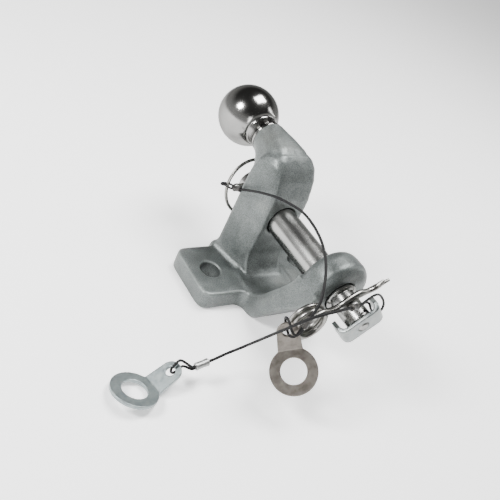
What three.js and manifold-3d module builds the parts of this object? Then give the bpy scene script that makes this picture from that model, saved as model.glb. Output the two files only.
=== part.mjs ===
import * as THREE from 'three';
import * as BufferGeometryUtils from 'three/addons/utils/BufferGeometryUtils.js';
import Module from 'manifold-3d';

// Combination ball-and-pin tow hitch, lying on its mounting face. Millimetres, +Z up.
// X is across the hitch, +Y runs toward the ball, Z = 0 is the mounting face.

// mounting plate
const PLATE_HALF_X = 64;
const PLATE_HALF_Y = 27;
const PLATE_T = 16;
const PLATE_CORNER = 9;
const BOLT_HALF_SPACING = 45;
const BOLT_HOLE_R = 8.5;
const BLOCK_BOTTOM = -43.5;
// centre block, upper arm and lower jaw
const BODY_HALF_X = 26;
const PIN_Z = 66;
const ARM_TOP = 29;
const ARM_UNDER = -3;
const JAW_TOP = -62;
const JAW_BOTTOM = -86;
const NOSE_R = 25;
const NOSE_Z = 68;
// tow ball
const BALL_R = 25;
const BALL_Y = 82;
const BALL_Z = 107;
const NECK_R = 12.8;
const SEAT_Y = 50;
const SPIGOT_R = 8;
// main pin
const PIN_R = 12.4;
const PIN_TOP = 48;
const PIN_STEP_Y = -87;
const PIN_END_R = 9.5;
const PIN_END_Y = -112;
const BORE_R = 12.8;
// clips
const LINCH_Y = 40;
const LINCH_R = 3;
const RING_X = -4;
const RING_R = 24;
const RING_TILT = 15;
const RING_WIRE_R = 1.3;
const CLIP_Y = -92;
const CLIP_WIRE_R = 2;
const CLIP_ANGLE = 29.7;
const COIL_R = 12;
const COIL_TURNS = 2.5;
const COIL_PITCH = 4.3;
// handle strap on the pin's lower end
const STRAP_SPREAD = 15.5;
const STRAP_W = 19;
const STRAP_T = 3;
const STRAP_ANGLE = 45;
// lanyards and tab washers
const CORD_R = 1;
const LOOP_R = 0.9;
const FERRULE_GAP = 0.3;
const WASHER_R = 16.5;
const WASHER_HOLE_R = 9;
const WASHER_T = 2.5;
const TAB_HOLE_R = 3.4;
const TAB_REACH = 31;

const wasm = await Module();
wasm.setup();

function toSolid(geometry) {
  const g = geometry.clone();
  g.deleteAttribute('normal');
  g.deleteAttribute('uv');
  const merged = BufferGeometryUtils.mergeVertices(g, 1e-4);
  const mesh = new wasm.Mesh({
    numProp: 3,
    vertProperties: new Float32Array(merged.attributes.position.array),
    triVerts: new Uint32Array(merged.index.array),
  });
  return new wasm.Manifold(mesh);
}

function toGeometry(solid) {
  const mesh = solid.getMesh();
  const g = new THREE.BufferGeometry();
  const positions = new Float32Array(mesh.numVert * 3);
  for (let i = 0; i < mesh.numVert; i += 1) {
    for (let k = 0; k < 3; k += 1) {
      positions[i * 3 + k] = mesh.vertProperties[i * mesh.numProp + k];
    }
  }
  g.setAttribute('position', new THREE.BufferAttribute(positions, 3));
  g.setIndex(new THREE.BufferAttribute(new Uint32Array(mesh.triVerts), 1));
  return g;
}

const v = (x, y, z) => new THREE.Vector3(x, y, z);

function node(name, geometry, color, metalness, roughness) {
  const g = geometry.index ? geometry.toNonIndexed() : geometry;
  g.computeVertexNormals();
  const material = new THREE.MeshStandardMaterial({ color, metalness, roughness });
  const mesh = new THREE.Mesh(g, material);
  mesh.name = name;
  return mesh;
}

// a cylinder from one point to another
function rod(a, b, radius, sides = 24) {
  const along = b.clone().sub(a);
  const g = new THREE.CylinderGeometry(radius, radius, along.length(), sides);
  const turn = new THREE.Quaternion().setFromUnitVectors(v(0, 1, 0), along.clone().normalize());
  g.applyQuaternion(turn);
  g.translate((a.x + b.x) / 2, (a.y + b.y) / 2, (a.z + b.z) / 2);
  return g;
}

// a round wire along a smooth curve
function wire(points, radius, steps, sides, closed = false) {
  const path = new THREE.CatmullRomCurve3(points, closed, 'centripetal');
  const outline = new THREE.Shape();
  for (let i = 0; i < sides; i += 1) {
    const a = (2 * Math.PI * i) / sides;
    if (i === 0) outline.moveTo(radius, 0);
    else outline.lineTo(radius * Math.cos(a), radius * Math.sin(a));
  }
  outline.closePath();
  return new THREE.ExtrudeGeometry(outline, { steps, extrudePath: path, curveSegments: 1 });
}

function roundedOutline(points, radii) {
  const shape = new THREE.Shape();
  const n = points.length;
  for (let i = 0; i < n; i += 1) {
    const p = points[i];
    const before = points[(i + n - 1) % n];
    const after = points[(i + 1) % n];
    const r = radii[i];
    const toBefore = before.clone().sub(p).normalize();
    const toAfter = after.clone().sub(p).normalize();
    const start = p.clone().addScaledVector(toBefore, r);
    const end = p.clone().addScaledVector(toAfter, r);
    if (i === 0) shape.moveTo(start.x, start.y);
    else shape.lineTo(start.x, start.y);
    if (r > 0) shape.quadraticCurveTo(p.x, p.y, end.x, end.y);
  }
  shape.closePath();
  return shape;
}

function extrudeBevelled(shape, depth, bevel, curveSegments = 5) {
  const g = new THREE.ExtrudeGeometry(shape, {
    depth: depth - 2 * bevel,
    bevelEnabled: bevel > 0,
    bevelThickness: bevel,
    bevelSize: bevel,
    bevelOffset: -bevel,
    bevelSegments: 3,
    curveSegments,
  });
  g.translate(0, 0, bevel);
  return g;
}

// outline drawn as (z, y), swept across X from -half to +half
function acrossX(shape, half, bevel) {
  const g = extrudeBevelled(shape, 2 * half, bevel);
  g.translate(0, 0, -half);
  g.rotateY(-Math.PI / 2);
  return toSolid(g);
}

// ---- hitch body -------------------------------------------------------------------------------

function mountingPlate() {
  const outline = roundedOutline(
    [
      new THREE.Vector2(-PLATE_HALF_X, -PLATE_HALF_Y),
      new THREE.Vector2(PLATE_HALF_X, -PLATE_HALF_Y),
      new THREE.Vector2(PLATE_HALF_X, PLATE_HALF_Y),
      new THREE.Vector2(-PLATE_HALF_X, PLATE_HALF_Y),
    ],
    [PLATE_CORNER, PLATE_CORNER, PLATE_CORNER, PLATE_CORNER],
  );
  return toSolid(extrudeBevelled(outline, PLATE_T, 1.2));
}

// the downward extension of the plate, with its concave-then-convex shoulders
function lowerBlock() {
  const s = new THREE.Shape();
  const wide = BODY_HALF_X + 9;
  s.moveTo(-wide, -PLATE_HALF_Y + 8);
  s.lineTo(-wide, -PLATE_HALF_Y + 0.5);
  s.quadraticCurveTo(-BODY_HALF_X, -PLATE_HALF_Y, -BODY_HALF_X, -PLATE_HALF_Y - 7);
  s.quadraticCurveTo(-BODY_HALF_X, BLOCK_BOTTOM, -BODY_HALF_X + 8, BLOCK_BOTTOM);
  s.lineTo(BODY_HALF_X - 8, BLOCK_BOTTOM);
  s.quadraticCurveTo(BODY_HALF_X, BLOCK_BOTTOM, BODY_HALF_X, -PLATE_HALF_Y - 7);
  s.quadraticCurveTo(BODY_HALF_X, -PLATE_HALF_Y, wide, -PLATE_HALF_Y + 0.5);
  s.lineTo(wide, -PLATE_HALF_Y + 8);
  s.closePath();
  return toSolid(extrudeBevelled(s, PLATE_T, 1.2));
}

// side outline of web, throat and drooping lower jaw
function jawSide() {
  const s = new THREE.Shape();
  s.moveTo(0, -4);
  s.lineTo(0, -35);
  s.quadraticCurveTo(1, -45.5, 12, -51);
  s.lineTo(26, -60);
  s.lineTo(52, -80.5);
  s.quadraticCurveTo(58, JAW_BOTTOM + 0.3, 66, JAW_BOTTOM);
  s.lineTo(100, JAW_BOTTOM);
  s.lineTo(100, JAW_TOP);
  s.lineTo(72, JAW_TOP);
  s.quadraticCurveTo(62, JAW_TOP, 54, -57.5);
  s.lineTo(32, -44.5);
  s.quadraticCurveTo(PLATE_T + 2, -37, PLATE_T + 1.2, -26);
  s.lineTo(PLATE_T + 1.2, -4);
  s.closePath();
  return acrossX(s, BODY_HALF_X, 3);
}

// the hollow fillet between the plate's face and the arm's underside
function throatFillet() {
  const s = new THREE.Shape();
  s.moveTo(10, 6);
  s.lineTo(10, -17);
  s.lineTo(PLATE_T + 0.8, -17);
  s.quadraticCurveTo(PLATE_T + 2, ARM_UNDER - 2.5, 33, ARM_UNDER - 0.6);
  s.lineTo(33, 6);
  s.closePath();
  return acrossX(s, 18, 2);
}

// plan outline that rounds the jaw's nose about the pin
function jawPlan() {
  const s = new THREE.Shape();
  s.moveTo(-60, -20);
  s.lineTo(60, -20);
  s.lineTo(60, 26);
  s.lineTo(BODY_HALF_X, 30);
  s.lineTo(NOSE_R, NOSE_Z);
  s.absarc(0, NOSE_Z, NOSE_R, 0, Math.PI, false);
  s.lineTo(-BODY_HALF_X, 30);
  s.lineTo(-60, 26);
  s.closePath();
  const g = new THREE.ExtrudeGeometry(s, { depth: 200, bevelEnabled: false, curveSegments: 28 });
  g.rotateX(Math.PI / 2);
  g.translate(0, 60, 0);
  return toSolid(g);
}

// the nose drum with deeply rounded rims, so that the jaw's front edge is soft like a forging
function jawNose() {
  const upper = 9;
  const lower = 6.5;
  const p = [new THREE.Vector2(0, JAW_BOTTOM)];
  for (let i = 0; i <= 5; i += 1) {
    const a = (-Math.PI / 2) + (i * Math.PI) / 10;
    const r = NOSE_R - lower + lower * Math.cos(a);
    p.push(new THREE.Vector2(r, JAW_BOTTOM + lower + lower * Math.sin(a)));
  }
  for (let i = 0; i <= 5; i += 1) {
    const a = (i * Math.PI) / 10;
    const r = NOSE_R - upper + upper * Math.cos(a);
    p.push(new THREE.Vector2(r, JAW_TOP - upper + upper * Math.sin(a)));
  }
  p.push(new THREE.Vector2(0, JAW_TOP));
  const g = new THREE.LatheGeometry(p, 56);
  g.translate(0, 0, NOSE_Z);
  return toSolid(g);
}

// one cross-section of the arm: a rounded trapezoid, wide at the back, narrower in front
function armSection(st) {
  const pts = [];
  const corners = [[1, 1], [-1, 1], [-1, -1], [1, -1]];
  const perCorner = 5;
  corners.forEach(([sx, sh], c) => {
    for (let i = 0; i < perCorner; i += 1) {
      const a = c * (Math.PI / 2) + (i * Math.PI) / 2 / (perCorner - 1);
      const h = sh * (st.halfH - st.r) + st.r * Math.sin(a);
      const share = (h + st.halfH) / (2 * st.halfH);
      const full = sx * (st.wide - st.r) + st.r * Math.cos(a);
      const x = full * ((st.narrow + (st.wide - st.narrow) * share) / st.wide);
      const t = (st.tilt * Math.PI) / 180;
      pts.push(v(x, st.y + h * Math.cos(t), st.z - h * Math.sin(t)));
    }
  });
  return pts;
}

function loft(sections) {
  const n = sections[0].length;
  const positions = [];
  sections.forEach((s) => s.forEach((p) => positions.push(p.x, p.y, p.z)));
  const index = [];
  for (let k = 0; k + 1 < sections.length; k += 1) {
    for (let i = 0; i < n; i += 1) {
      const a = k * n + i;
      const b = k * n + ((i + 1) % n);
      index.push(a, b, b + n, a, b + n, a + n);
    }
  }
  const last = (sections.length - 1) * n;
  for (let i = 1; i + 1 < n; i += 1) {
    index.push(0, i + 1, i);
    index.push(last, last + i, last + i + 1);
  }
  const g = new THREE.BufferGeometry();
  g.setAttribute('position', new THREE.BufferAttribute(new Float32Array(positions), 3));
  g.setIndex(index);
  return g;
}

// a station whose section runs from its back edge to its front edge, both given as z and y
function armStation(back, front, wide, narrow, r) {
  const z = (back[0] + front[0]) / 2;
  const y = (back[1] + front[1]) / 2;
  const halfH = Math.hypot(back[0] - front[0], back[1] - front[1]) / 2;
  const tilt = (Math.atan2(front[0] - back[0], back[1] - front[1]) * 180) / Math.PI;
  return { z, y, tilt, halfH, wide, narrow, r };
}

// the arm runs straight out from the plate to a rounded front end
function armBlock() {
  const under = ARM_UNDER;
  const stations = [
    armStation([6, ARM_TOP + 4], [6, under - 4], BODY_HALF_X + 4.5, 23, 5),
    armStation([PLATE_T + 0.8, ARM_TOP + 3], [PLATE_T + 0.8, under - 3], BODY_HALF_X + 3.5, 22, 5),
    armStation([PLATE_T + 3, ARM_TOP + 1], [PLATE_T + 3, under - 1.2], BODY_HALF_X + 1.3, 19.6, 4.5),
    armStation([PLATE_T + 8, ARM_TOP], [PLATE_T + 8, under - 0.5], BODY_HALF_X, 18.5, 4),
    armStation([60, ARM_TOP], [60, under - 1.2], BODY_HALF_X, 18.5, 4),
    armStation([84, ARM_TOP], [86, under], BODY_HALF_X, 18.8, 4),
    armStation([97, ARM_TOP], [101, under + 4], BODY_HALF_X - 0.3, 19.3, 4.5),
    armStation([104, ARM_TOP - 0.3], [109.5, under + 8.5], BODY_HALF_X - 2.2, 19.3, 6),
    armStation([109, ARM_TOP - 1.5], [114, under + 12.5], BODY_HALF_X - 5.5, 17.5, 6.5),
    armStation([113, ARM_TOP - 4], [116.5, under + 16.5], BODY_HALF_X - 10.5, 14, 4.2),
  ];
  return toSolid(loft(stations.map(armSection)));
}

// the shoulder turns up out of the arm's end into the round ball seat
function armShoulder() {
  const stations = [
    armStation([84, 25], [92, 2], 20, 17, 6),
    armStation([87.5, 30.5], [107, 4.5], 22.5, 18.5, 8),
    armStation([90, 34], [114.5, 10.5], 21.5, 18.5, 9),
    armStation([91.8, 38], [118.5, 20], 19.5, 17.5, 11),
    armStation([92.8, 42.5], [120.4, 32], 17, 16, 12.5),
    armStation([93, 46.5], [121, 42.5], 15, 14.8, 13.6),
    armStation([BALL_Z - 14.2, SEAT_Y], [BALL_Z + 14.2, SEAT_Y], 14.2, 14.2, 14),
  ];
  return toSolid(loft(stations.map(armSection)));
}

function hitchBody() {
  const jaw = jawSide().intersect(jawPlan());
  const front = toSolid(new THREE.BoxGeometry(80, 60, 60).translate(0, JAW_BOTTOM + 12, NOSE_Z + 30));
  const jawRounded = jaw.subtract(front).add(jawNose());
  let body = mountingPlate().add(lowerBlock()).add(jawRounded).add(throatFillet());
  body = body.add(armBlock()).add(armShoulder());
  body = body.subtract(toSolid(rod(v(0, 60, PIN_Z), v(0, -100, PIN_Z), BORE_R, 40)));
  body = body.subtract(toSolid(rod(v(0, 25, BALL_Z), v(0, 60, BALL_Z), SPIGOT_R + 0.3, 32)));
  [-1, 1].forEach((side) => {
    const x = side * BOLT_HALF_SPACING;
    body = body.subtract(toSolid(rod(v(x, 0, -5), v(x, 0, 30), BOLT_HOLE_R, 40)));
  });
  return node('hitch_body', toGeometry(body), 0x8b928f, 0.75, 0.55);
}

// ---- tow ball ---------------------------------------------------------------------------------

function towBall() {
  const p = [new THREE.Vector2(0, 26)];
  p.push(new THREE.Vector2(SPIGOT_R, 26));
  p.push(new THREE.Vector2(SPIGOT_R, SEAT_Y + 0.3));
  p.push(new THREE.Vector2(NECK_R + 0.9, SEAT_Y + 0.3));
  p.push(new THREE.Vector2(NECK_R + 0.9, SEAT_Y + 2.2));
  p.push(new THREE.Vector2(NECK_R, SEAT_Y + 3.4));
  p.push(new THREE.Vector2(NECK_R, SEAT_Y + 12));
  const low = -Math.acos(16 / BALL_R);
  const high = Math.acos(5 / BALL_R);
  p.push(new THREE.Vector2(15.2, BALL_Y + BALL_R * Math.sin(low) - 0.6));
  const rings = 26;
  for (let i = 0; i <= rings; i += 1) {
    const a = low + ((high - low) * i) / rings;
    p.push(new THREE.Vector2(BALL_R * Math.cos(a), BALL_Y + BALL_R * Math.sin(a)));
  }
  p.push(new THREE.Vector2(0, BALL_Y + BALL_R * Math.sin(high)));
  const g = new THREE.LatheGeometry(p, 48);
  g.translate(0, 0, BALL_Z);
  return node('tow_ball', g, 0xb9bbb8, 1, 0.12);
}

// ---- main pin and handle strap ------------------------------------------------------------------

function clipPoint(along, side, y) {
  const t = (CLIP_ANGLE * Math.PI) / 180;
  return v(
    along * Math.cos(t) - side * Math.sin(t),
    y,
    PIN_Z + along * Math.sin(t) + side * Math.cos(t),
  );
}

function mainPin() {
  const p = [
    new THREE.Vector2(0, PIN_END_Y - STRAP_T - 0.8),
    new THREE.Vector2(3, PIN_END_Y - STRAP_T - 0.8),
    new THREE.Vector2(4, PIN_END_Y - STRAP_T),
    new THREE.Vector2(4, PIN_END_Y),
    new THREE.Vector2(PIN_END_R - 0.8, PIN_END_Y),
    new THREE.Vector2(PIN_END_R, PIN_END_Y + 0.8),
    new THREE.Vector2(PIN_END_R, PIN_STEP_Y - 1.5),
    new THREE.Vector2(PIN_R - 1, PIN_STEP_Y - 1),
    new THREE.Vector2(PIN_R, PIN_STEP_Y),
    new THREE.Vector2(PIN_R, PIN_TOP - 2),
    new THREE.Vector2(PIN_R - 2, PIN_TOP),
    new THREE.Vector2(0, PIN_TOP),
  ];
  const g = new THREE.LatheGeometry(p, 44);
  g.translate(0, 0, PIN_Z);
  let pin = toSolid(g);
  const linchHole = rod(v(-20, LINCH_Y, PIN_Z), v(20, LINCH_Y, PIN_Z), LINCH_R + 0.4, 24);
  const clipHole = rod(clipPoint(-20, 0, CLIP_Y), clipPoint(20, 0, CLIP_Y), CLIP_WIRE_R + 0.4, 20);
  pin = pin.subtract(toSolid(linchHole)).subtract(toSolid(clipHole));
  return node('main_pin', toGeometry(pin), 0xbfc1bf, 1, 0.2);
}

// a flat strip bent into a stirrup under the pin's end
function pinHandle() {
  const outer = STRAP_SPREAD + STRAP_T / 2;
  const inner = STRAP_SPREAD - STRAP_T / 2;
  const base = PIN_END_Y - 0.3;
  const top = -102;
  const s = new THREE.Shape();
  s.moveTo(-outer, top);
  s.lineTo(-outer, base - STRAP_T + 6);
  s.quadraticCurveTo(-outer, base - STRAP_T, -outer + 6, base - STRAP_T);
  s.lineTo(outer - 6, base - STRAP_T);
  s.quadraticCurveTo(outer, base - STRAP_T, outer, base - STRAP_T + 6);
  s.lineTo(outer, top);
  s.lineTo(inner, top);
  s.lineTo(inner, base + 4);
  s.quadraticCurveTo(inner, base, inner - 4, base);
  s.lineTo(-inner + 4, base);
  s.quadraticCurveTo(-inner, base, -inner, base + 4);
  s.lineTo(-inner, top);
  s.closePath();
  const g = extrudeBevelled(s, STRAP_W, 0.5);
  g.translate(0, 0, -STRAP_W / 2);
  g.rotateY((-STRAP_ANGLE * Math.PI) / 180);
  g.translate(0, 0, PIN_Z);
  const rivetHole = toSolid(rod(v(0, base + 3, PIN_Z), v(0, base - 6, PIN_Z), 4.4, 24));
  // the arms' free ends are cut to rounded tips
  const tips = toSolid(rod(v(0, 0, -30), v(0, 0, 30), 9, 32)
    .rotateY(Math.PI / 2)
    .scale(1, 1.6, 1)
    .rotateY((-STRAP_ANGLE * Math.PI) / 180)
    .translate(0, base + 1, PIN_Z));
  const strap = toSolid(g).intersect(tips.add(toSolid(new THREE.BoxGeometry(90, 12, 90)
    .translate(0, base - 2, PIN_Z)))).subtract(rivetHole);
  return node('pin_handle', toGeometry(strap), 0x9fa5a4, 0.8, 0.4);
}

// ---- spring clip and linch pin ------------------------------------------------------------------

function springClip() {
  const pts = [clipPoint(38, 0, CLIP_Y), clipPoint(20, 0, CLIP_Y), clipPoint(0, 0, CLIP_Y)];
  const coilAlong = -34;
  pts.push(clipPoint(-20, 0, CLIP_Y));
  const coilSteps = Math.round(COIL_TURNS * 12);
  for (let i = 0; i <= coilSteps; i += 1) {
    const a = (i / coilSteps) * COIL_TURNS * 2 * Math.PI;
    const y = CLIP_Y - (i / coilSteps) * COIL_TURNS * COIL_PITCH;
    pts.push(clipPoint(coilAlong - COIL_R * Math.sin(a), COIL_R - COIL_R * Math.cos(a), y));
  }
  const low = CLIP_Y - COIL_TURNS * COIL_PITCH;
  pts.push(clipPoint(-26, 23, low + 0.4));
  pts.push(clipPoint(-17, 17, low + 2));
  pts.push(clipPoint(-9, 13.2, low + 4));
  pts.push(clipPoint(0, 12.6, low + 5.5));
  pts.push(clipPoint(9, 11, low + 6.6));
  pts.push(clipPoint(17, 6.5, low + 7.2));
  pts.push(clipPoint(24, 6, low + 7.2));
  pts.push(clipPoint(30, 9.5, low + 7.2));
  return node('r_clip', wire(pts, CLIP_WIRE_R, 150, 8), 0xc4c5c3, 1, 0.2);
}

function linchPin() {
  const headX = RING_X + RING_R;
  const p = [
    new THREE.Vector2(0, 22.2),
    new THREE.Vector2(1.6, 22.2),
    new THREE.Vector2(LINCH_R, 19.8),
    new THREE.Vector2(LINCH_R, -14.5),
    new THREE.Vector2(5.4, -14.5),
    new THREE.Vector2(6, -15.2),
    new THREE.Vector2(6, -24.4),
    new THREE.Vector2(4.8, -25.5),
    new THREE.Vector2(0, -25.5),
  ].reverse();
  const g = new THREE.LatheGeometry(p, 28);
  g.rotateZ(Math.PI / 2);
  g.translate(0, LINCH_Y, PIN_Z);
  const tilt = (RING_TILT * Math.PI) / 180;
  const reach = v(0, 12 * Math.sin(tilt), 12 * Math.cos(tilt));
  const head = v(headX, LINCH_Y, PIN_Z);
  const hole = toSolid(rod(head.clone().sub(reach), head.clone().add(reach), 2.4, 20));
  return node('linch_pin', toGeometry(toSolid(g).subtract(hole)), 0xb4b6b4, 1, 0.25);
}

function linchRing() {
  const g = new THREE.TorusGeometry(RING_R, RING_WIRE_R, 10, 64);
  g.rotateX(Math.PI / 2 - (RING_TILT * Math.PI) / 180);
  g.translate(RING_X, LINCH_Y, PIN_Z);
  return node('linch_ring', g, 0xbcbebc, 1, 0.22);
}

// ---- lanyards -----------------------------------------------------------------------------------

// the smooth course of each lanyard's long wire, end to end
const ROUTE_RING = [
  v(-30.2, 22.2, 78), v(-29.5, 14.7, 83), v(-29.9, 3.9, 90), v(-29.8, -4.9, 95), v(-28.8, -13.2, 99),
  v(-26.2, -24.7, 102.5), v(-23.2, -36.4, 104.5), v(-22.9, -49.4, 104.5), v(-24.3, -62.3, 103),
  v(-27.8, -74.7, 100.5), v(-32.6, -85.3, 97), v(-39.6, -96.7, 91.5), v(-45, -103.9, 85.5),
  v(-48.2, -106.3, 80.8), v(-49.8, -107, 77),
];
const ROUTE_HANDLE = [
  v(-93.2, -84.9, 16.5), v(-87.8, -84.3, 17.2), v(-81.6, -83.8, 19), v(-75.6, -84.2, 22),
  v(-70.9, -85.8, 26.5), v(-68.8, -89.3, 34), v(-68.2, -93.9, 43), v(-68.9, -99.2, 53),
  v(-69.4, -104.2, 62.5), v(-69.4, -108.8, 71), v(-67.9, -112, 78), v(-65.2, -114.4, 83.5),
  v(-61, -115.9, 87.5), v(-56.5, -117, 90), v(-49, -117.6, 91.6), v(-42, -117.4, 92),
  v(-35, -116.5, 91.4), v(-29, -115.4, 90.2),
];

function cordNode(name, route, steps) {
  return node(name, wire(route, CORD_R, steps, 8), 0x161616, 0.1, 0.5);
}

// a crimped sleeve that starts a small gap beyond the wire's end and runs on the same way
function ferruleAt(end, direction, length) {
  const d = direction.clone().normalize();
  const a = end.clone().addScaledVector(d, FERRULE_GAP);
  const b = a.clone().addScaledVector(d, length);
  return { a, b, d };
}

function routeEnd(route, last) {
  const n = route.length;
  const end = last ? route[n - 1] : route[0];
  const before = last ? route[n - 2] : route[1];
  return { end, d: end.clone().sub(before).normalize() };
}

function ferruleNode(name, f, radius, color, metalness) {
  const p = [
    new THREE.Vector2(0, 0),
    new THREE.Vector2(radius - 0.5, 0),
    new THREE.Vector2(radius, 0.6),
    new THREE.Vector2(radius - 0.25, 0.34 * f.a.distanceTo(f.b)),
    new THREE.Vector2(radius - 0.25, 0.66 * f.a.distanceTo(f.b)),
    new THREE.Vector2(radius, f.a.distanceTo(f.b) - 0.6),
    new THREE.Vector2(radius - 0.5, f.a.distanceTo(f.b)),
    new THREE.Vector2(0, f.a.distanceTo(f.b)),
  ];
  const g = new THREE.LatheGeometry(p, 20);
  g.applyQuaternion(new THREE.Quaternion().setFromUnitVectors(v(0, 1, 0), f.d));
  g.translate(f.a.x, f.a.y, f.a.z);
  return node(name, g, color, metalness, 0.4);
}

// a wire eye that leaves the sleeve, passes round a piece and comes back to the sleeve
function eyeNode(name, f, across, middle) {
  const side = across.clone().normalize().multiplyScalar(LOOP_R + 0.25);
  side.addScaledVector(f.d, -side.dot(f.d));
  const mouth = f.b.clone().addScaledVector(f.d, FERRULE_GAP + 0.1);
  const start = mouth.clone().add(side);
  const end = mouth.clone().sub(side);
  const lead = f.d.clone().multiplyScalar(2);
  const pts = [start, start.clone().add(lead), ...middle, end.clone().add(lead), end];
  return node(name, wire(pts, LOOP_R, 52, 8), 0x1a1a1a, 0.1, 0.5);
}

// ---- tab washers --------------------------------------------------------------------------------

// flat ring with a tab whose outer part is bent up; drawn flat with the tab toward +X
function tabWasherSolid(bend) {
  const ring = toSolid(rod(v(0, 0, 0), v(0, 0, WASHER_T), WASHER_R, 48));
  const bendX = WASHER_R - 1;
  const neck = toSolid(new THREE.BoxGeometry(10, 17, WASHER_T).translate(bendX - 5, 0, WASHER_T / 2));
  const reach = TAB_REACH - bendX;
  const tab = new THREE.Shape();
  tab.moveTo(0, -8.5);
  tab.lineTo(reach, -7.5);
  tab.absarc(reach, 0, 7.5, -Math.PI / 2, Math.PI / 2, false);
  tab.lineTo(0, 8.5);
  tab.closePath();
  const tabGeometry = new THREE.ExtrudeGeometry(tab, {
    depth: WASHER_T,
    bevelEnabled: false,
    curveSegments: 12,
  });
  const eye = rod(v(reach, 0, -3), v(reach, 0, 6), TAB_HOLE_R, 24);
  [tabGeometry, eye].forEach((g) => {
    g.rotateY((-bend * Math.PI) / 180);
    g.translate(bendX, 0, 0);
  });
  const bent = toSolid(tabGeometry).subtract(toSolid(eye));
  const hole = toSolid(rod(v(0, 0, -4), v(0, 0, 8), WASHER_HOLE_R, 48));
  return ring.add(neck).add(bent).subtract(hole);
}

function tabWasher(name, bend, place, color) {
  const g = toGeometry(tabWasherSolid(bend));
  g.applyMatrix4(place);
  return node(name, g, color, 0.85, 0.35);
}

// frame from a centre, the tab's direction and the ring's upward normal
function placeWasher(centre, toTab, normal) {
  const z = normal.clone().normalize();
  const x = toTab.clone().addScaledVector(z, -toTab.dot(z)).normalize();
  const y = z.clone().cross(x);
  return new THREE.Matrix4().makeBasis(x, y, z).setPosition(centre);
}

const WASHER_ONE = placeWasher(v(-147, -87.9, 4), v(1, 0.13, -0.17), v(0.15, 0.165, 0.975));
const WASHER_TWO = placeWasher(
  v(-51.4, -119.1, 36.6),
  v(-0.212, 0.575, 0.787),
  v(-0.618, -0.508, 0.599),
);
const BEND_ONE = 40;
const BEND_TWO = 36;

// the tab hole's own frame: along the tab, across it, and out of its face
function tabHoleFrame(place, bend) {
  const a = (bend * Math.PI) / 180;
  const reach = TAB_REACH - (WASHER_R - 1);
  const along = v(Math.cos(a), 0, Math.sin(a)).transformDirection(place);
  const out = v(-Math.sin(a), 0, Math.cos(a)).transformDirection(place);
  const across = out.clone().cross(along);
  const centre = v(WASHER_R - 1, 0, 0).applyMatrix4(place)
    .addScaledVector(along, reach)
    .addScaledVector(out, WASHER_T / 2);
  const at = (t, s, n) => centre.clone()
    .addScaledVector(along, t)
    .addScaledVector(across, s)
    .addScaledVector(out, n);
  return { centre, along, across, out, at };
}

// ---- assembly -----------------------------------------------------------------------------------

const group = new THREE.Group();
group.name = 'ball_and_pin_hitch';
group.add(hitchBody());
group.add(towBall());
group.add(mainPin());
group.add(pinHandle());
group.add(springClip());
group.add(linchPin());
group.add(linchRing());
group.add(tabWasher('tab_washer_one', BEND_ONE, WASHER_ONE, 0xa9b1b3));
group.add(tabWasher('tab_washer_two', BEND_TWO, WASHER_TWO, 0x9b948c));

// lanyard from the linch ring to tab washer two
group.add(cordNode('ring_lanyard_wire', ROUTE_RING, 60));
const ringStart = routeEnd(ROUTE_RING, false);
const ringSleeve = ferruleAt(ringStart.end, ringStart.d, 8);
group.add(ferruleNode('ring_lanyard_ring_sleeve', ringSleeve, 2.2, 0x2b2b29, 0.5));
const RING_GRIP = v(RING_X - RING_R, LINCH_Y, PIN_Z + 0.5);
group.add(eyeNode('ring_lanyard_ring_eye', ringSleeve, v(1, 0, 0), [
  v(RING_GRIP.x + 3.2, RING_GRIP.y - 1, RING_GRIP.z + 2.5),
  v(RING_GRIP.x + 2.8, RING_GRIP.y + 4.2, RING_GRIP.z),
  v(RING_GRIP.x - 0.4, RING_GRIP.y + 6.4, RING_GRIP.z - 1),
  v(RING_GRIP.x - 3.4, RING_GRIP.y + 3.6, RING_GRIP.z),
  v(RING_GRIP.x - 3.2, RING_GRIP.y - 1.4, RING_GRIP.z + 2.5),
]));
const washerEnd = routeEnd(ROUTE_RING, true);
const washerSleeve = ferruleAt(washerEnd.end, washerEnd.d, 9);
group.add(ferruleNode('ring_lanyard_washer_sleeve', washerSleeve, 2.3, 0x2b2b29, 0.5));
const holeTwo = tabHoleFrame(WASHER_TWO, BEND_TWO);
group.add(eyeNode('ring_lanyard_washer_eye', washerSleeve, holeTwo.out.clone().negate(), [
  holeTwo.at(-1.5, -3.8, 4.4),
  holeTwo.at(-1.6, -0.6, 2.6),
  holeTwo.at(-0.4, 0, 0),
  holeTwo.at(1, 0.3, -2.6),
  holeTwo.at(5, 0.5, -3.8),
  holeTwo.at(9.6, 0, -2.8),
  holeTwo.at(11.3, -1, 0.8),
  holeTwo.at(9.5, -2, 4.6),
  holeTwo.at(5, -2.5, 6.8),
  holeTwo.at(1, -4.9, 6.6),
]));

// lanyard from the pin's handle strap to tab washer one
group.add(cordNode('handle_lanyard_wire', ROUTE_HANDLE, 50));
const handleEnd = routeEnd(ROUTE_HANDLE, true);
const handleSleeve = ferruleAt(handleEnd.end, handleEnd.d, 9);
group.add(ferruleNode('handle_lanyard_strap_sleeve', handleSleeve, 2.3, 0x2b2b29, 0.5));
const strapPoint = (u, w, y) => {
  const t = (STRAP_ANGLE * Math.PI) / 180;
  return v(u * Math.cos(t) - w * Math.sin(t), y, PIN_Z + u * Math.sin(t) + w * Math.cos(t));
};
const EYE_Y = -106.8;
group.add(eyeNode('handle_lanyard_strap_eye', handleSleeve, v(0.5, 0, 1), [
  strapPoint(16, 19, EYE_Y - 2),
  strapPoint(21, 10, EYE_Y),
  strapPoint(21.5, -7, EYE_Y),
  strapPoint(17, -13.4, EYE_Y),
  strapPoint(11.9, -9, EYE_Y),
  strapPoint(11.7, 0, EYE_Y),
  strapPoint(11.7, 9, EYE_Y),
  strapPoint(8.5, 18, EYE_Y - 2),
]));
const lowStart = routeEnd(ROUTE_HANDLE, false);
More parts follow.
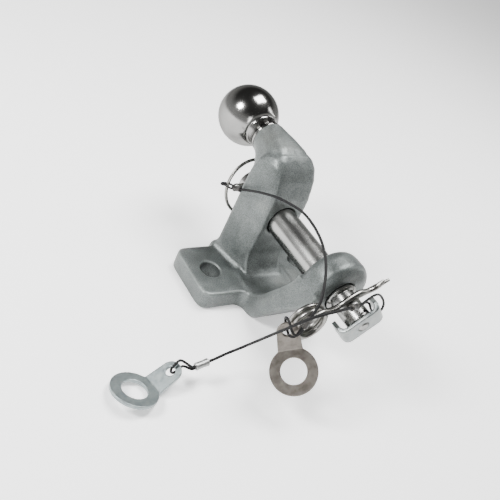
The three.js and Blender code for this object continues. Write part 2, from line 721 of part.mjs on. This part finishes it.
const lowSleeve = ferruleAt(lowStart.end, lowStart.d, 10.5);
group.add(ferruleNode('handle_lanyard_washer_sleeve', lowSleeve, 2.8, 0xb8bab8, 0.9));
const holeOne = tabHoleFrame(WASHER_ONE, BEND_ONE);
group.add(eyeNode('handle_lanyard_washer_eye', lowSleeve, holeOne.out, [
  holeOne.at(9, 0, 4.2),
  holeOne.at(4.5, 0, 4),
  holeOne.at(1.2, 0, 2.6),
  holeOne.at(0.2, 0, 0),
  holeOne.at(1.2, 0, -2.6),
  holeOne.at(4.5, 0, -3.8),
  holeOne.at(9, 0, -3.6),
]));

export default group;
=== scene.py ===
import math

import bmesh
import bpy
from mathutils import Matrix, Vector


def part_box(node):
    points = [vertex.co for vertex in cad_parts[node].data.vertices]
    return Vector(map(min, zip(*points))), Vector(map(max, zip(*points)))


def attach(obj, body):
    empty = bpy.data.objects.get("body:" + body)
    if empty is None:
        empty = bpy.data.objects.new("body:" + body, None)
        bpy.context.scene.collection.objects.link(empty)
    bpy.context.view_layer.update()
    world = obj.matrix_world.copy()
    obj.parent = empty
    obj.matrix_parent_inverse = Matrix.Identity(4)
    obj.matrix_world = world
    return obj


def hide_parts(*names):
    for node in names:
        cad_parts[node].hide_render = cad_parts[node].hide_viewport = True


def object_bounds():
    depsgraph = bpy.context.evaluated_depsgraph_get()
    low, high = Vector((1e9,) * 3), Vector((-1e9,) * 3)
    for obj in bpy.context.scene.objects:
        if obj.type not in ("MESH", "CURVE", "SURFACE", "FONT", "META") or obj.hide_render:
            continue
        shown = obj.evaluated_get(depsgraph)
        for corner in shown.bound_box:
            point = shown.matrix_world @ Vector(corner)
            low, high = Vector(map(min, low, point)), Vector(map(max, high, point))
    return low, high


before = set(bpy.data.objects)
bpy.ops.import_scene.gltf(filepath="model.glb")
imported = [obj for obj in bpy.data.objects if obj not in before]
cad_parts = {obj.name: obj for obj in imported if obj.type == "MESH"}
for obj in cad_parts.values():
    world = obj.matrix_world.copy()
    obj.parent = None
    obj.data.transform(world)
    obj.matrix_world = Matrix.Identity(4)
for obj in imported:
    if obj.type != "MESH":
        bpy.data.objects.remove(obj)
CAD_BOX = [[float(c) for c in corner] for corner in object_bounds()]
MM = 0.001

# driving sizes, in metres, as the frame has them
BALL_LOW, BALL_HIGH = (Vector(c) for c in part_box("tow_ball"))
PIN_LOW, PIN_HIGH = (Vector(c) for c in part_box("main_pin"))
BALL_R = (BALL_HIGH.x - BALL_LOW.x) / 2
BALL_Z = (BALL_HIGH.z + BALL_LOW.z) / 2
PIN_Z = (PIN_HIGH.z + PIN_LOW.z) / 2

# the ball's turned parts, upward along +Y from the end of its spigot
SPIGOT_R = 8 * MM
SPIGOT_LENGTH = 24.3 * MM
COLLAR = ((13.4, 0), (13.7, 0.3), (13.7, 1.9), (13.3, 2.4))  # radius, height over the seat, in mm
NECK_R = 12.8 * MM
NECK_FOOT, NECK_TOP = 3.4 * MM, 9.5 * MM
FLARE_OUT, FLARE_UP, FLARE_STEPS = 1.6 * MM, 2.0 * MM, 5
BALL_CENTRE_Y = 82 * MM
BALL_STEP_R, BALL_STEP = 15.6 * MM, 0.5 * MM
BALL_FOOT_R, BALL_FLAT_R = 16.2 * MM, 5 * MM
BALL_ARC_STEPS, BALL_TURN_STEPS = 60, 128

# the spring clip, in mm and in the plane of its legs
CLIP_TILT = math.radians(29.7)
CLIP_Y = -92.0
CLIP_WIRE_R = 2 * MM
STRAIGHT_LEG = (38, 20, 0, -20)
COIL_TURNS, COIL_PITCH, COIL_R, COIL_ALONG = 2.5, 4.3, 12.0, -34
COIL_STEPS_A_TURN = 24
WAVED_LEG = ((-26, 23, 0.4), (-17, 17, 2), (-9, 13.2, 4), (0, 12.6, 5.5),
             (9, 11, 6.6), (17, 6.5, 7.2), (24, 6, 7.2), (30, 9.5, 7.2))
TIP_SCALE, TIP_GROWTH = 0.55, 0.12  # share of the wire's radius at the tips, and gained by each point

# skins and surfaces
CORD_D = 2.0 * MM
WELD_DISTANCE = 0.01 * MM
SHARP_ANGLE = math.radians(32)
FORGING_UNEVEN = 0.5 * MM
FLOOR_HALF = 3.0
FLOOR_GAP = 0.2 * MM


def mm(*values):
    return Vector(values) * MM


# ---- camera --------------------------------------------------------------------------------------

CAMERA_PLACE = mm(-342.9, -300.9, 340.9)
CAMERA_RIGHT = Vector((0.7915, -0.4836, 0.3737))
CAMERA_BACK = Vector((-0.6075, -0.5558, 0.5676))


def make_camera():
    data = bpy.data.cameras.new("camera")
    data.lens = 48.65
    data.sensor_width = 36
    camera = bpy.data.objects.new("camera", data)
    right = CAMERA_RIGHT.normalized()
    back = CAMERA_BACK.normalized()
    up = back.cross(right).normalized()
    right = up.cross(back)
    turn = Matrix((right, up, back)).transposed().to_4x4()
    camera.matrix_world = Matrix.Translation(CAMERA_PLACE) @ turn
    bpy.context.collection.objects.link(camera)
    bpy.context.scene.camera = camera


# ---- shader helpers ------------------------------------------------------------------------------

def shader(name, metallic, roughness):
    material = bpy.data.materials.new(name)
    material.use_nodes = True
    nodes = material.node_tree.nodes
    links = material.node_tree.links
    principled = nodes["Principled BSDF"]
    principled.inputs["Metallic"].default_value = metallic
    principled.inputs["Roughness"].default_value = roughness
    where = nodes.new("ShaderNodeTexCoord").outputs["Object"]
    return material, nodes, links, principled, where


def noise(nodes, links, where, scale, detail=4.0, stretch=(1, 1, 1)):
    mapping = nodes.new("ShaderNodeMapping")
    mapping.inputs["Scale"].default_value = stretch
    links.new(where, mapping.inputs["Vector"])
    texture = nodes.new("ShaderNodeTexNoise")
    texture.inputs["Scale"].default_value = scale
    texture.inputs["Detail"].default_value = detail
    links.new(mapping.outputs["Vector"], texture.inputs["Vector"])
    return texture.outputs["Fac"]


def ramp(nodes, links, value, stops):
    node = nodes.new("ShaderNodeValToRGB")
    elements = node.color_ramp.elements
    while len(elements) < len(stops):
        elements.new(0.5)
    for element, (position, color) in zip(elements, stops):
        element.position = position
        element.color = (*color, 1)
    links.new(value, node.inputs["Fac"])
    return node.outputs["Color"]


def mix(nodes, links, factor, a, b, mode="MIX"):
    """Mixes color a with b; the factor is a number or a socket, and b a color or a socket."""
    node = nodes.new("ShaderNodeMix")
    node.data_type = "RGBA"
    node.blend_type = mode
    if isinstance(factor, float):
        node.inputs[0].default_value = factor
    else:
        links.new(factor, node.inputs[0])
    links.new(a, node.inputs[6])
    if isinstance(b, tuple):
        node.inputs[7].default_value = (*b, 1)
    else:
        links.new(b, node.inputs[7])
    return node.outputs[2]


def bump(nodes, links, principled, heights):
    """Chains (height, distance, strength) bumps into the shader's normal."""
    normal = None
    for height, distance, strength in heights:
        node = nodes.new("ShaderNodeBump")
        node.inputs["Distance"].default_value = distance
        node.inputs["Strength"].default_value = strength
        links.new(height, node.inputs["Height"])
        if normal is not None:
            links.new(normal, node.inputs["Normal"])
        normal = node.outputs["Normal"]
    links.new(normal, principled.inputs["Normal"])


def vary_roughness(nodes, links, principled, value, low, high):
    node = nodes.new("ShaderNodeMapRange")
    node.inputs["To Min"].default_value = low
    node.inputs["To Max"].default_value = high
    links.new(value, node.inputs["Value"])
    links.new(node.outputs["Result"], principled.inputs["Roughness"])


def pointiness(nodes):
    return nodes.new("ShaderNodeNewGeometry").outputs["Pointiness"]


# ---- materials -----------------------------------------------------------------------------------

def forging_material():
    """Dull zinc plate over a forged skin: soft mottling, fine grain, pits and worn edges."""
    material, nodes, links, principled, where = shader("forged_zinc", 0.6, 0.45)
    broad = noise(nodes, links, where, 28, 5)
    cloudy = noise(nodes, links, where, 120, 6)
    grain = noise(nodes, links, where, 1500, 3)
    speck = noise(nodes, links, where, 620, 2)
    base = ramp(nodes, links, broad, [
        (0.3, (0.088, 0.098, 0.096)), (0.55, (0.132, 0.145, 0.142)), (0.75, (0.178, 0.187, 0.177))])
    mottled = ramp(nodes, links, cloudy, [(0.35, (0.78, 0.79, 0.78)), (0.65, (1.0, 1.0, 1.0))])
    color = mix(nodes, links, 0.8, base, mottled, "MULTIPLY")
    pits = ramp(nodes, links, speck, [(0.24, (0.55, 0.53, 0.5)), (0.33, (1, 1, 1))])
    color = mix(nodes, links, 0.8, color, pits, "MULTIPLY")
    flecks = ramp(nodes, links, grain, [(0.4, (0.6, 0.6, 0.59)), (0.6, (1.3, 1.3, 1.3))])
    color = mix(nodes, links, 0.8, color, flecks, "MULTIPLY")
    edge = ramp(nodes, links, pointiness(nodes), [(0.51, (0, 0, 0)), (0.58, (1, 1, 1))])
    color = mix(nodes, links, edge, color, (0.3, 0.33, 0.315))
    links.new(color, principled.inputs["Base Color"])
    vary_roughness(nodes, links, principled, cloudy, 0.34, 0.52)
    bump(nodes, links, principled, [
        (broad, 0.0012, 0.35), (cloudy, 0.0004, 0.4), (grain, 0.00015, 0.6), (speck, 0.0002, 0.45)])
    return material


def polished_material(name, tint, roughness, turned=False):
    """Bright plated steel with faint smears and, where it was turned on Y, fine lines."""
    material, nodes, links, principled, where = shader(name, 1.0, roughness)
    principled.inputs["Specular Tint"].default_value = (0.5, 0.5, 0.5, 1)
    lines = noise(nodes, links, where, 60, 4, (1, 30, 1) if turned else (1, 1, 1))
    smear = noise(nodes, links, where, 55, 5)
    color = ramp(nodes, links, smear, [(0.3, tuple(0.86 * c for c in tint)), (0.7, tint)])
    links.new(color, principled.inputs["Base Color"])
    vary_roughness(nodes, links, principled, smear, roughness * 0.75, roughness * 1.7)
    bump(nodes, links, principled, [(lines, 0.00005, 0.08), (smear, 0.0002, 0.1)])
    return material


def sheet_material(name, light, dark, warm):
    """Rolled and plated sheet: streaks along the sheet, spangle and small scuffs."""
    material, nodes, links, principled, where = shader(name, 0.85, 0.36)
    streak = noise(nodes, links, where, 70, 5, (1, 2.5, 1))
    spangle = nodes.new("ShaderNodeTexVoronoi")
    spangle.inputs["Scale"].default_value = 420
    links.new(where, spangle.inputs["Vector"])
    scuff = noise(nodes, links, where, 260, 6)
    color = ramp(nodes, links, streak, [(0.3, dark), (0.7, light)])
    color = mix(nodes, links, 0.12, color, spangle.outputs["Distance"], "OVERLAY")
    worn = ramp(nodes, links, scuff, [(0.42, (0, 0, 0)), (0.75, (0.7, 0.7, 0.7))])
    color = mix(nodes, links, worn, color, warm)
    links.new(color, principled.inputs["Base Color"])
    vary_roughness(nodes, links, principled, scuff, 0.24, 0.5)
    bump(nodes, links, principled, [(streak, 0.0001, 0.3), (scuff, 0.00012, 0.25)])
    return material


def coating_material():
    """Black plastic coating over stranded wire, with the strands just showing through."""
    material, nodes, links, principled, where = shader("black_coating", 0.0, 0.45)
    principled.inputs["Specular IOR Level"].default_value = 0.2
    waves = nodes.new("ShaderNodeTexWave")
    waves.bands_direction = "DIAGONAL"
    waves.inputs["Scale"].default_value = 420
    waves.inputs["Distortion"].default_value = 1.5
    links.new(where, waves.inputs["Vector"])
    dust = noise(nodes, links, where, 700, 4)
    color = ramp(nodes, links, dust, [(0.4, (0.003, 0.003, 0.0035)), (0.8, (0.012, 0.0115, 0.011))])
    links.new(color, principled.inputs["Base Color"])
    vary_roughness(nodes, links, principled, dust, 0.5, 0.7)
    bump(nodes, links, principled, [(waves.outputs["Fac"], 0.00008, 0.4)])
    return material


def sleeve_material(name, color_low, color_high, roughness):
    """Crimped metal sleeve with tool scratches."""
    material, nodes, links, principled, where = shader(name, 0.9, roughness)
    scratch = noise(nodes, links, where, 300, 5, (1, 1, 6))
    links.new(ramp(nodes, links, scratch, [(0.3, color_low), (0.7, color_high)]),
              principled.inputs["Base Color"])
    vary_roughness(nodes, links, principled, scratch, roughness * 0.7, roughness * 1.5)
    bump(nodes, links, principled, [(scratch, 0.0002, 0.35)])
    return material


# ---- mesh helpers --------------------------------------------------------------------------------

def object_from(name, data, body):
    piece = bpy.data.objects.new(name, data)
    bpy.context.collection.objects.link(piece)
    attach(piece, body)
    return piece


def lathe(name, profile, centre, body, steps):
    """Turns (radius, along) points round the Y axis through centre, closed at both ends."""
    build = bmesh.new()
    rings = []
    for radius, along in profile:
        ring = []
        for i in range(steps if radius > 1e-7 else 1):
            a = 2 * math.pi * i / steps
            place = Vector((radius * math.cos(a), along, radius * math.sin(a)))
            ring.append(build.verts.new(place + centre))
        rings.append(ring)
    for low, high in zip(rings, rings[1:]):
        for i in range(steps):
            j = (i + 1) % steps
            if len(low) == 1:
                build.faces.new((low[0], high[i], high[j]))
            elif len(high) == 1:
                build.faces.new((low[i], high[0], low[j]))
            else:
                build.faces.new((low[i], high[i], high[j], low[j]))
    bmesh.ops.recalc_face_normals(build, faces=build.faces)
    mesh = bpy.data.meshes.new(name)
    build.to_mesh(mesh)
    build.free()
    for polygon in mesh.polygons:
        polygon.use_smooth = True
    return object_from(name, mesh, body)


def tube(name, points, radius, body, resolution=6, scales=None):
    """A round tube along the points. The bevel is 1 m, so a point's radius is the real one."""
    curve = bpy.data.curves.new(name, "CURVE")
    curve.dimensions = "3D"
    curve.bevel_depth = 1.0
    curve.bevel_resolution = resolution
    curve.use_fill_caps = True
    spline = curve.splines.new("POLY")
    spline.points.add(len(points) - 1)
    for k, (target, point) in enumerate(zip(spline.points, points)):
        target.co = (*point, 1)
        target.radius = radius * (scales[k] if scales else 1)
    spline.use_smooth = True
    return object_from(name, curve, body)


def smooth_curve(points, per_span):
    """A centripetal Catmull-Rom curve through the points."""
    ends = [2 * points[0] - points[1], *points, 2 * points[-1] - points[-2]]
    out = []
    for p0, p1, p2, p3 in zip(ends, ends[1:], ends[2:], ends[3:]):
        t1 = (p1 - p0).length ** 0.5
        t2 = t1 + (p2 - p1).length ** 0.5
        t3 = t2 + (p3 - p2).length ** 0.5
        for i in range(per_span):
            t = t1 + (t2 - t1) * i / per_span
            a1 = p0 * ((t1 - t) / t1) + p1 * (t / t1)
            a2 = p1 * ((t2 - t) / (t2 - t1)) + p2 * ((t - t1) / (t2 - t1))
            a3 = p2 * ((t3 - t) / (t3 - t2)) + p3 * ((t - t2) / (t3 - t2))
            b1 = a1 * ((t2 - t) / t2) + a2 * (t / t2)
            b2 = a2 * ((t3 - t) / (t3 - t1)) + a3 * ((t - t1) / (t3 - t1))
            out.append(b1 * ((t2 - t) / (t2 - t1)) + b2 * ((t - t1) / (t2 - t1)))
    out.append(points[-1])
    return out


def set_material(piece, material):
    data = piece.data
    if data.materials:
        data.materials[0] = material
    else:
        data.materials.append(material)
    for slot in piece.material_slots:
        slot.material = material


def smooth_shading_group():
    """Geometry nodes that shade smooth except across edges sharper than SHARP_ANGLE."""
    group = bpy.data.node_groups.new("shade_by_angle", "GeometryNodeTree")
    group.interface.new_socket("Geometry", in_out="INPUT", socket_type="NodeSocketGeometry")
    group.interface.new_socket("Geometry", in_out="OUTPUT", socket_type="NodeSocketGeometry")
    nodes, links = group.nodes, group.links
    start = nodes.new("NodeGroupInput")
    end = nodes.new("NodeGroupOutput")
    weld = nodes.new("GeometryNodeMergeByDistance")
    weld.inputs["Distance"].default_value = WELD_DISTANCE
    faces = nodes.new("GeometryNodeSetShadeSmooth")
    faces.domain = "FACE"
    edges = nodes.new("GeometryNodeSetShadeSmooth")
    edges.domain = "EDGE"
    measure = nodes.new("GeometryNodeInputMeshEdgeAngle")
    compare = nodes.new("FunctionNodeCompare")
    compare.operation = "LESS_THAN"
    compare.inputs[1].default_value = SHARP_ANGLE
    links.new(measure.outputs["Unsigned Angle"], compare.inputs[0])
    links.new(start.outputs[0], weld.inputs["Geometry"])
    links.new(weld.outputs["Geometry"], faces.inputs["Geometry"])
    links.new(faces.outputs["Geometry"], edges.inputs["Geometry"])
    links.new(compare.outputs["Result"], edges.inputs["Shade Smooth"])
    links.new(edges.outputs["Geometry"], end.inputs[0])
    return group


SHADE = smooth_shading_group()


def soften_cad(name, material, voxel, passes):
    """A carried-over CAD node with an even fine skin whose edges are worn round."""
    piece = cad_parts[name]
    skin = piece.modifiers.new("skin", "REMESH")
    skin.mode = "VOXEL"
    skin.voxel_size = voxel
    skin.use_smooth_shade = True
    soften = piece.modifiers.new("soften", "SMOOTH")
    soften.factor = 0.5
    soften.iterations = passes
    set_material(piece, material)
    return piece


def finish_cad(name, material):
    """A carried-over CAD node: smooth shading between its sharp edges, its own material."""
    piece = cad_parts[name]
    shade = piece.modifiers.new("shade", "NODES")
    shade.node_group = SHADE
    set_material(piece, material)


def roughen(piece):
    """The broad unevenness of a forged skin."""
    texture = bpy.data.textures.new("forged_skin", "CLOUDS")
    texture.noise_scale = 0.011
    texture.noise_depth = 3
    uneven = piece.modifiers.new("uneven", "DISPLACE")
    uneven.texture = texture
    uneven.texture_coords = "LOCAL"
    uneven.strength = FORGING_UNEVEN
    uneven.mid_level = 0.5


# ---- the lanyards --------------------------------------------------------------------------------

ROUTE_RING = [mm(*p) for p in (
    (-30.2, 22.2, 78), (-29.5, 14.7, 83), (-29.9, 3.9, 90), (-29.8, -4.9, 95), (-28.8, -13.2, 99),
    (-26.2, -24.7, 102.5), (-23.2, -36.4, 104.5), (-22.9, -49.4, 104.5), (-24.3, -62.3, 103),
    (-27.8, -74.7, 100.5), (-32.6, -85.3, 97), (-39.6, -96.7, 91.5), (-45, -103.9, 85.5),
    (-48.2, -106.3, 80.8), (-49.8, -107, 77))]
ROUTE_HANDLE = [mm(*p) for p in (
    (-93.2, -84.9, 16.5), (-87.8, -84.3, 17.2), (-81.6, -83.8, 19), (-75.6, -84.2, 22),
    (-70.9, -85.8, 26.5), (-68.8, -89.3, 34), (-68.2, -93.9, 43), (-68.9, -99.2, 53),
    (-69.4, -104.2, 62.5), (-69.4, -108.8, 71), (-67.9, -112, 78), (-65.2, -114.4, 83.5),
    (-61, -115.9, 87.5), (-56.5, -117, 90), (-49, -117.6, 91.6), (-42, -117.4, 92),
    (-35, -116.5, 91.4), (-29, -115.4, 90.2))]


def make_lanyard(name, route, node, material):
    points = smooth_curve(route, 8)
    piece = tube(name, points, CORD_D / 2, "hitch")
    set_material(piece, material)
    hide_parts(node)


# ---- pieces built here ---------------------------------------------------------------------------

def make_ball(material):
    """Turned ball with its flat ring, relieved neck and seat collar."""
    seat = BALL_LOW.y + SPIGOT_LENGTH
    profile = [(0, BALL_LOW.y), (SPIGOT_R, BALL_LOW.y), (SPIGOT_R, seat)]
    profile += [(radius * MM, seat + rise * MM) for radius, rise in COLLAR]
    profile += [(NECK_R, seat + NECK_FOOT), (NECK_R, seat + NECK_TOP)]
    for i in range(1, FLARE_STEPS + 1):
        a = math.pi / 2 * i / FLARE_STEPS
        profile.append((NECK_R + FLARE_OUT * (1 - math.cos(a)),
                        seat + NECK_TOP + FLARE_UP * math.sin(a)))
    low = -math.acos(BALL_FOOT_R / BALL_R)
    high = math.acos(BALL_FLAT_R / BALL_R)
    profile.append((BALL_STEP_R, BALL_CENTRE_Y + BALL_R * math.sin(low) - BALL_STEP))
    for i in range(BALL_ARC_STEPS + 1):
        a = low + (high - low) * i / BALL_ARC_STEPS
        profile.append((BALL_R * math.cos(a), BALL_CENTRE_Y + BALL_R * math.sin(a)))
    profile.append((0, BALL_CENTRE_Y + BALL_R * math.sin(high)))
    piece = lathe("polished_ball", profile, Vector((0, 0, BALL_Z)), "hitch",
                  BALL_TURN_STEPS)
    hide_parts("tow_ball")
    set_material(piece, material)


def clip_point(along, side, y):
    """A point along and beside the clip's straight leg, from where it crosses the pin's axis."""
    return mm(along * math.cos(CLIP_TILT) - side * math.sin(CLIP_TILT), y,
              PIN_Z / MM + along * math.sin(CLIP_TILT) + side * math.cos(CLIP_TILT))


def make_clip(material):
    """Spring clip: straight leg, coil of two and a half turns, waved outer leg, narrowed tips."""
    points = [clip_point(along, 0, CLIP_Y) for along in STRAIGHT_LEG]
    steps = round(COIL_TURNS * COIL_STEPS_A_TURN)
    for i in range(steps + 1):
        a = 2 * math.pi * COIL_TURNS * i / steps
        points.append(clip_point(COIL_ALONG - COIL_R * math.sin(a), COIL_R - COIL_R * math.cos(a),
                                 CLIP_Y - COIL_TURNS * COIL_PITCH * i / steps))
    coil_end = CLIP_Y - COIL_TURNS * COIL_PITCH
    for along, side, rise in WAVED_LEG:
        points.append(clip_point(along, side, coil_end + rise))
    fine = smooth_curve(points, 6)
    last = len(fine) - 1
    scales = [min(1.0, TIP_SCALE + TIP_GROWTH * k, TIP_SCALE + TIP_GROWTH * (last - k))
              for k in range(last + 1)]
    piece = tube("spring_clip", fine, CLIP_WIRE_R, "clip", 8, scales)
    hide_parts("r_clip")
    set_material(piece, material)


# ---- build ---------------------------------------------------------------------------------------

make_camera()
coating = coating_material()
dark_sleeve = sleeve_material("dark_sleeve", (0.02, 0.02, 0.02), (0.09, 0.085, 0.08), 0.4)
bright_sleeve = sleeve_material("bright_sleeve", (0.24, 0.24, 0.235), (0.4, 0.41, 0.4), 0.36)
ring_cad = ["ring_lanyard_ring_sleeve", "ring_lanyard_ring_eye", "ring_lanyard_washer_sleeve",
            "ring_lanyard_washer_eye", "tab_washer_two"]
handle_cad = ["handle_lanyard_strap_sleeve", "handle_lanyard_strap_eye",
              "handle_lanyard_washer_sleeve", "handle_lanyard_washer_eye", "tab_washer_one"]
make_lanyard("ring_lanyard", ROUTE_RING, "ring_lanyard_wire", coating)
make_lanyard("handle_lanyard", ROUTE_HANDLE, "handle_lanyard_wire", coating)
for cad in ring_cad + handle_cad:
    if cad.endswith("eye"):
        finish_cad(cad, coating)
    elif cad == "handle_lanyard_washer_sleeve":
        finish_cad(cad, bright_sleeve)
    elif cad.endswith("sleeve"):
        finish_cad(cad, dark_sleeve)

roughen(soften_cad("hitch_body", forging_material(), 0.9 * MM, 9))

make_ball(polished_material("ball_plate", (0.27, 0.268, 0.26), 0.13, turned=True))
pin_metal = polished_material("pin_plate", (0.34, 0.34, 0.33), 0.2, turned=True)
finish_cad("main_pin", pin_metal)
finish_cad("linch_pin", pin_metal)
wire_metal = polished_material("wire_plate", (0.27, 0.265, 0.25), 0.24)
finish_cad("linch_ring", wire_metal)
make_clip(wire_metal)
soften_cad("pin_handle", sheet_material(
    "strap_plate", (0.25, 0.27, 0.27), (0.15, 0.165, 0.165), (0.30, 0.31, 0.285)), 0.4 * MM, 4)
soften_cad("tab_washer_one", sheet_material(
    "washer_plate", (0.27, 0.31, 0.315), (0.19, 0.22, 0.225), (0.30, 0.33, 0.32)), 0.35 * MM, 3)
soften_cad("tab_washer_two", sheet_material(
    "washer_plain", (0.16, 0.145, 0.13), (0.09, 0.08, 0.07), (0.2, 0.185, 0.16)), 0.35 * MM, 3)


# ---- studio --------------------------------------------------------------------------------------

def make_floor():
    mesh = bpy.data.meshes.new("floor")
    low, high = -FLOOR_HALF, FLOOR_HALF
    corners = [(low, low, 0), (high, low, 0), (high, high, 0), (low, high, 0)]
    mesh.from_pydata(corners, [], [(0, 1, 2, 3)])
    floor = bpy.data.objects.new("floor", mesh)
    floor.location.z = CAD_BOX[0][2] - FLOOR_GAP
    bpy.context.collection.objects.link(floor)
    material, nodes, links, principled, where = shader("floor_paper", 0.0, 0.9)
    fibre = noise(nodes, links, where, 900, 3)
    links.new(ramp(nodes, links, fibre, [(0.3, (0.93, 0.93, 0.93)), (0.7, (0.96, 0.96, 0.96))]),
              principled.inputs["Base Color"])
    principled.inputs["Emission Color"].default_value = (1, 1, 1, 1)
    principled.inputs["Emission Strength"].default_value = 0.6
    mesh.materials.append(material)


def make_light(name, place, target, size, power, color=(1, 1, 1)):
    data = bpy.data.lights.new(name, "AREA")
    data.shape = "RECTANGLE"
    data.size, data.size_y = size
    data.energy = power
    data.color = color
    lamp = bpy.data.objects.new(name, data)
    lamp.location = place
    lamp.rotation_euler = (Vector(target) - Vector(place)).to_track_quat("-Z", "Y").to_euler()
    bpy.context.collection.objects.link(lamp)


def make_world():
    """A pale studio that the bright metal mirrors: light low walls under a dark ceiling."""
    world = bpy.data.worlds.new("world")
    bpy.context.scene.world = world
    world.use_nodes = True
    nodes, links = world.node_tree.nodes, world.node_tree.links
    height = nodes.new("ShaderNodeSeparateXYZ")
    links.new(nodes.new("ShaderNodeTexCoord").outputs["Generated"], height.inputs["Vector"])
    walls = ramp(nodes, links, height.outputs["Z"], [
        (0.0, (0.86, 0.86, 0.86)), (0.22, (0.62, 0.62, 0.61)), (0.5, (0.07, 0.07, 0.068))])
    links.new(walls, nodes["Background"].inputs["Color"])
    nodes["Background"].inputs["Strength"].default_value = 0.9


make_floor()
make_light("key", (-0.75, 0.15, 0.62), (0, 0, 0.06), (0.25, 0.25), 16)
make_light("top", (0.3, 0.1, 1.1), (0, 0, 0), (0.4, 0.6), 24)
make_light("low_left", (-0.55, -0.9, 0.32), (0, -0.02, 0.05), (0.25, 0.4), 3)
make_light("side", (0.9, -0.3, 0.5), (0, 0, 0.05), (0.15, 0.7), 3)
make_world()
